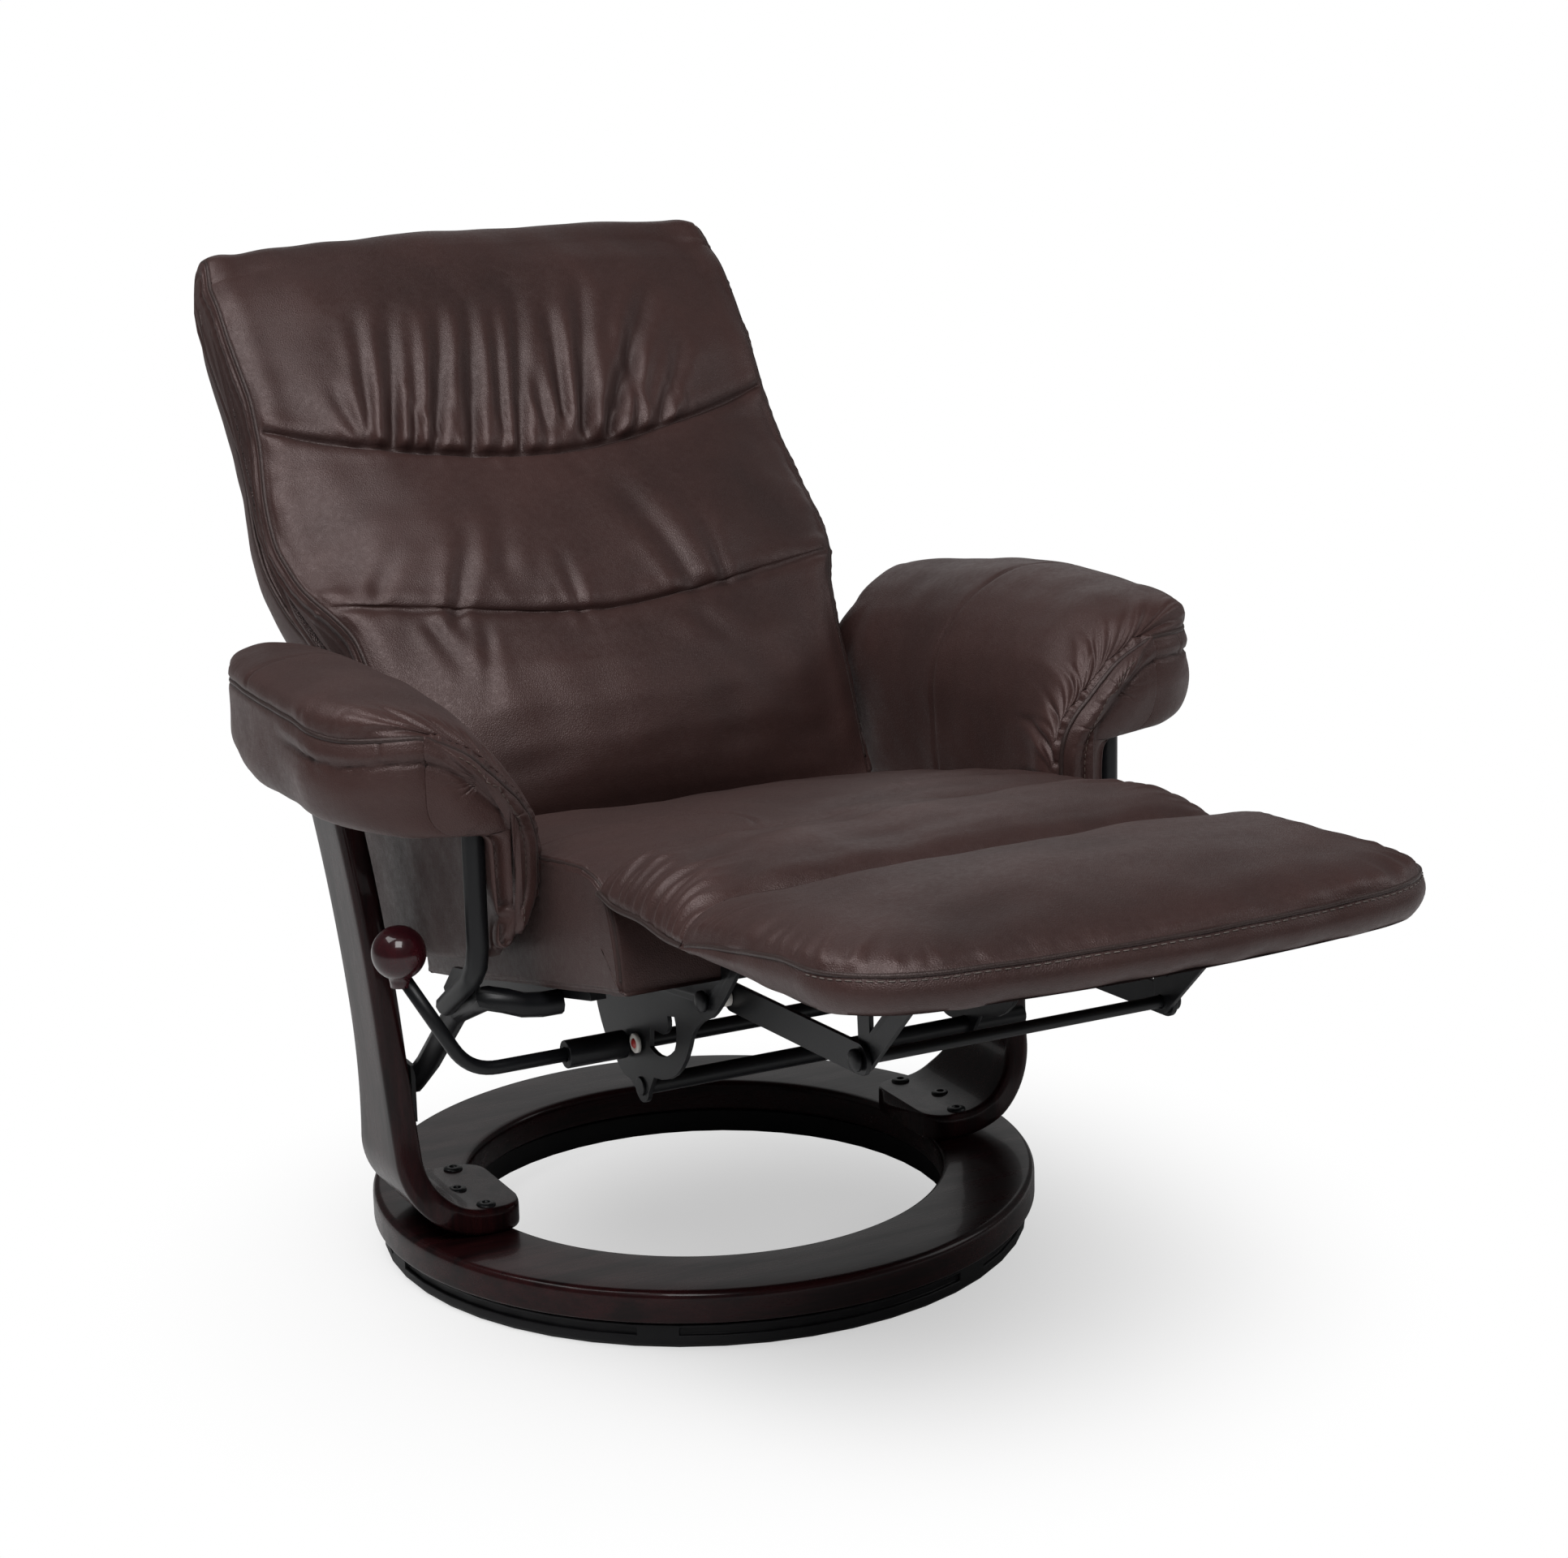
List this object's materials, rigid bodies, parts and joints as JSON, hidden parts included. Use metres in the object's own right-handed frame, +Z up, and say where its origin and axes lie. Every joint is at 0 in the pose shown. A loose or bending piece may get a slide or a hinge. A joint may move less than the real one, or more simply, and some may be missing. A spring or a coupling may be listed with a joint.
{
  "type": "recliner armchair",
  "caption": "Padded swivel recliner armchair on a round wooden ring base, with a folding footrest, a reclining back and a side release lever.",
  "frame": {"origin": "bottom centre of the bounding box, on the floor", "axes": "+Z up, -Y the way the sitter faces, X across the chair with the release lever on -X"},
  "size_m": [0.824, 1.3468, 0.8716],
  "materials": {
    "leather": "soft sheen, dark brown",
    "wood": "gloss lacquer, dark red-brown",
    "raw_wood": "unfinished, inside the upholstery",
    "black_steel": "satin black",
    "bright_steel": "plain",
    "black_plastic": "matt",
    "nylon": "natural white",
    "cloth": "woven webbing"
  },
  "bodies": {
    "floor_base": {"floor_ring": "black_plastic", "bearing_lower_race": "bright_steel", "bearing_ball_cage": "bright_steel"},
    "swivel_frame": {"wood_ring": "wood", "bearing_upper_race": "bright_steel", "left_upright": "wood", "right_upright": "wood", "left_foot_bolt_1": "black_steel", "right_foot_bolt_1": "black_steel", "left_foot_bolt_2": "black_steel", "right_foot_bolt_2": "black_steel", "left_foot_bolt_3": "black_steel", "right_foot_bolt_3": "black_steel", "left_arm_board": "raw_wood", "right_arm_board": "raw_wood", "left_arm_pad": "leather", "right_arm_pad": "leather", "left_arm_side": "leather", "right_arm_side": "leather", "left_side_bracket": "black_steel", "right_side_bracket": "black_steel", "left_slide_rail": "black_steel", "right_slide_rail": "black_steel", "rear_cross_tube": "black_steel"},
    "seat": {"seat_front_rail": "leather", "seat_rear_rail": "raw_wood", "left_seat_side_rail": "leather", "right_seat_side_rail": "leather", "left_seat_runner": "black_steel", "right_seat_runner": "black_steel", "seat_webbing": "cloth", "seat_cushion": "leather", "left_mechanism_plate": "black_steel", "right_mechanism_plate": "black_steel", "low_cross_tube": "black_steel", "left_link_roller": "nylon", "right_link_roller": "nylon", "left_back_hinge_plate": "black_steel", "right_back_hinge_plate": "black_steel"},
    "back": {"left_back_side_rail": "black_steel", "right_back_side_rail": "black_steel", "back_bottom_rail": "raw_wood", "back_top_rail": "raw_wood", "back_lower_panel": "leather", "back_lumbar_panel": "leather", "back_head_panel": "leather", "back_shell": "leather"},
    "footrest": {"footrest_flap": "leather", "footrest_board": "raw_wood", "footrest_pad": "leather", "left_footrest_arm": "black_steel", "right_footrest_arm": "black_steel"},
    "footrest_links": {"left_main_link": "black_steel", "right_main_link": "black_steel", "link_cross_rod": "black_steel"},
    "footrest_stays": {"left_stay": "black_steel", "right_stay": "black_steel"},
    "release_lever": {"lever_shaft": "black_steel", "lever_rod": "black_steel", "lever_knob": "wood"}
  },
  "joints": [
    {"name": "swivel", "type": "hinge", "parent": "floor_base", "child": "swivel_frame", "pos_m": [0, 0.11498, 0.03], "axis": [0, 0, 1], "continuous": true},
    {"name": "seat_slide", "type": "slide", "parent": "swivel_frame", "child": "seat", "axis": [0, -0.974, 0.2267], "range_m": [-0.04, 0]},
    {"name": "back_recline", "type": "hinge", "parent": "seat", "child": "back", "pos_m": [0, 0.19093, 0.31826], "axis": [1, 0, 0], "range_deg": [0, 26]},
    {"name": "footrest_fold", "type": "hinge", "parent": "seat", "child": "footrest", "pos_m": [0, -0.31702, 0.418], "axis": [1, 0, 0], "range_deg": [0, 88]},
    {"name": "link_fold", "type": "hinge", "parent": "seat", "child": "footrest_links", "pos_m": [0, -0.23502, 0.338], "axis": [1, 0, 0], "range_deg": [0, 88.5]},
    {"name": "stay_fold", "type": "hinge", "parent": "footrest_links", "child": "footrest_stays", "pos_m": [0, -0.45502, 0.351], "axis": [1, 0, 0], "range_deg": [-88.5, 0]},
    {"name": "lever_pull", "type": "hinge", "parent": "seat", "child": "release_lever", "pos_m": [0, -0.07602, 0.25512], "axis": [1, 0, 0], "range_deg": [-28, 0], "stiffness_Nm_per_rad": 1.5, "springref_deg": 5.73}
  ],
  "couplings": [
    {"joint": "seat_slide", "follows": "back_recline", "m_per_rad": -0.088},
    {"joint": "link_fold", "follows": "footrest_fold", "ratio": 1},
    {"joint": "stay_fold", "follows": "footrest_fold", "ratio": -1}
  ]
}
